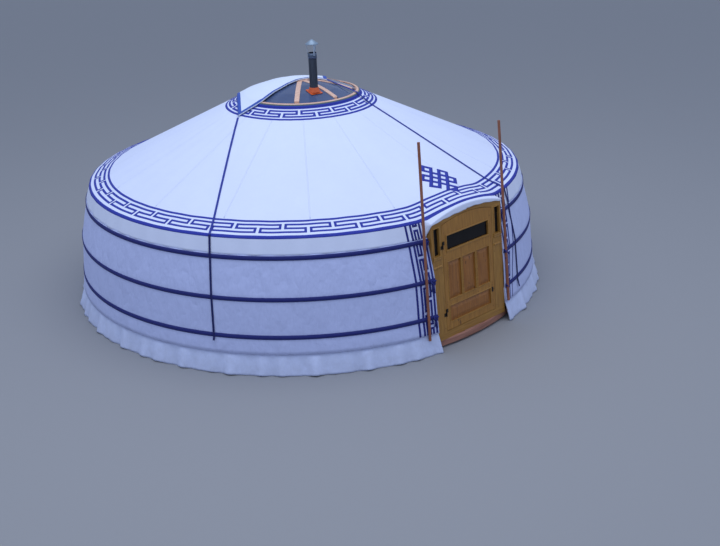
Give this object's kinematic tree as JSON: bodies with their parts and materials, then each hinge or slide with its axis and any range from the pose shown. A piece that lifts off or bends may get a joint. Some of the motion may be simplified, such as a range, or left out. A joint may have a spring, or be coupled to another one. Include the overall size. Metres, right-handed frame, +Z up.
{
  "type": "felt-covered round house",
  "caption": "Round tent house of trellis walls and roof poles under white canvas, with a timber door that opens, a glazed crown and a chimney.",
  "frame": {"origin": "ground level on the house's upright axis", "axes": "+Z up, the door faces -Y, +X is on the right of someone who looks at the door from outside"},
  "size_m": [6.39, 6.3212, 3.395],
  "materials": {
    "wall_canvas": "heavy white canvas over felt, soft folds",
    "roof_canvas": "heavy white canvas over felt, printed blue border",
    "skirt_cloth": "thin white canvas, gathered",
    "crown_cover_canvas": "white canvas bound with blue tape",
    "navy_webbing": "woven navy webbing",
    "trellis_wood": "oiled laths",
    "roof_pole_wood": "oiled poles",
    "crown_wood": "pale planed wood",
    "post_wood": "oiled posts",
    "platform_timber": "sawn weathered boards",
    "prop_wood": "round stained poles",
    "door_wood": "varnished pine",
    "leaf_wood": "varnished pine",
    "crown_pane": "clear sheet, slightly tinted",
    "window_glass": "clear glass",
    "flue_steel": "dark enamelled steel",
    "cap_steel": "bright galvanised steel",
    "boot_rubber": "orange silicone",
    "iron_fittings": "black iron"
  },
  "bodies": {
    "house": {"wall_cover_front_right": "wall_canvas", "skirt_front_right": "skirt_cloth", "roof_cover_front_right": "roof_canvas", "trellis_front_right": "trellis_wood", "wall_cover_right": "wall_canvas", "skirt_right": "skirt_cloth", "roof_cover_right": "roof_canvas", "trellis_right": "trellis_wood", "wall_cover_back_right": "wall_canvas", "skirt_back_right": "skirt_cloth", "roof_cover_back_right": "roof_canvas", "trellis_back_right": "trellis_wood", "wall_cover_back_left": "wall_canvas", "skirt_back_left": "skirt_cloth", "roof_cover_back_left": "roof_canvas", "trellis_back_left": "trellis_wood", "wall_cover_left": "wall_canvas", "skirt_left": "skirt_cloth", "roof_cover_left": "roof_canvas", "trellis_left": "trellis_wood", "wall_cover_front_left": "wall_canvas", "skirt_front_left": "skirt_cloth", "roof_cover_front_left": "roof_canvas", "trellis_front_left": "trellis_wood", "roof_poles_front": "roof_pole_wood", "roof_poles_right": "roof_pole_wood", "roof_poles_back": "roof_pole_wood", "roof_poles_left": "roof_pole_wood", "platform": "platform_timber", "crown_ring": "crown_wood", "crown_spokes": "crown_wood", "crown_panes": "crown_pane", "crown_posts": "post_wood", "chimney_pipe": "flue_steel", "chimney_cap": "cap_steel", "flashing_boot": "boot_rubber", "wall_bands": "navy_webbing", "cover_straps": "navy_webbing", "door_props": "prop_wood", "crown_cover": "crown_cover_canvas", "door_sill": "door_wood", "door_post_left": "door_wood", "door_post_right": "door_wood", "sidelight_panes": "window_glass", "door_lintel": "door_wood", "door_hood": "roof_canvas", "frame_hinges": "iron_fittings"},
    "door": {"door_leaf": "leaf_wood", "door_glass": "window_glass", "lock_plate": "iron_fittings", "leaf_hinges": "iron_fittings"}
  },
  "joints": [
    {"name": "door_hinge", "type": "hinge", "parent": "house", "child": "door", "pos_m": [-0.4485, -3.03026, 0.43978], "axis": [0, -0.0698, -0.9976], "range_deg": [0, 100]}
  ]
}
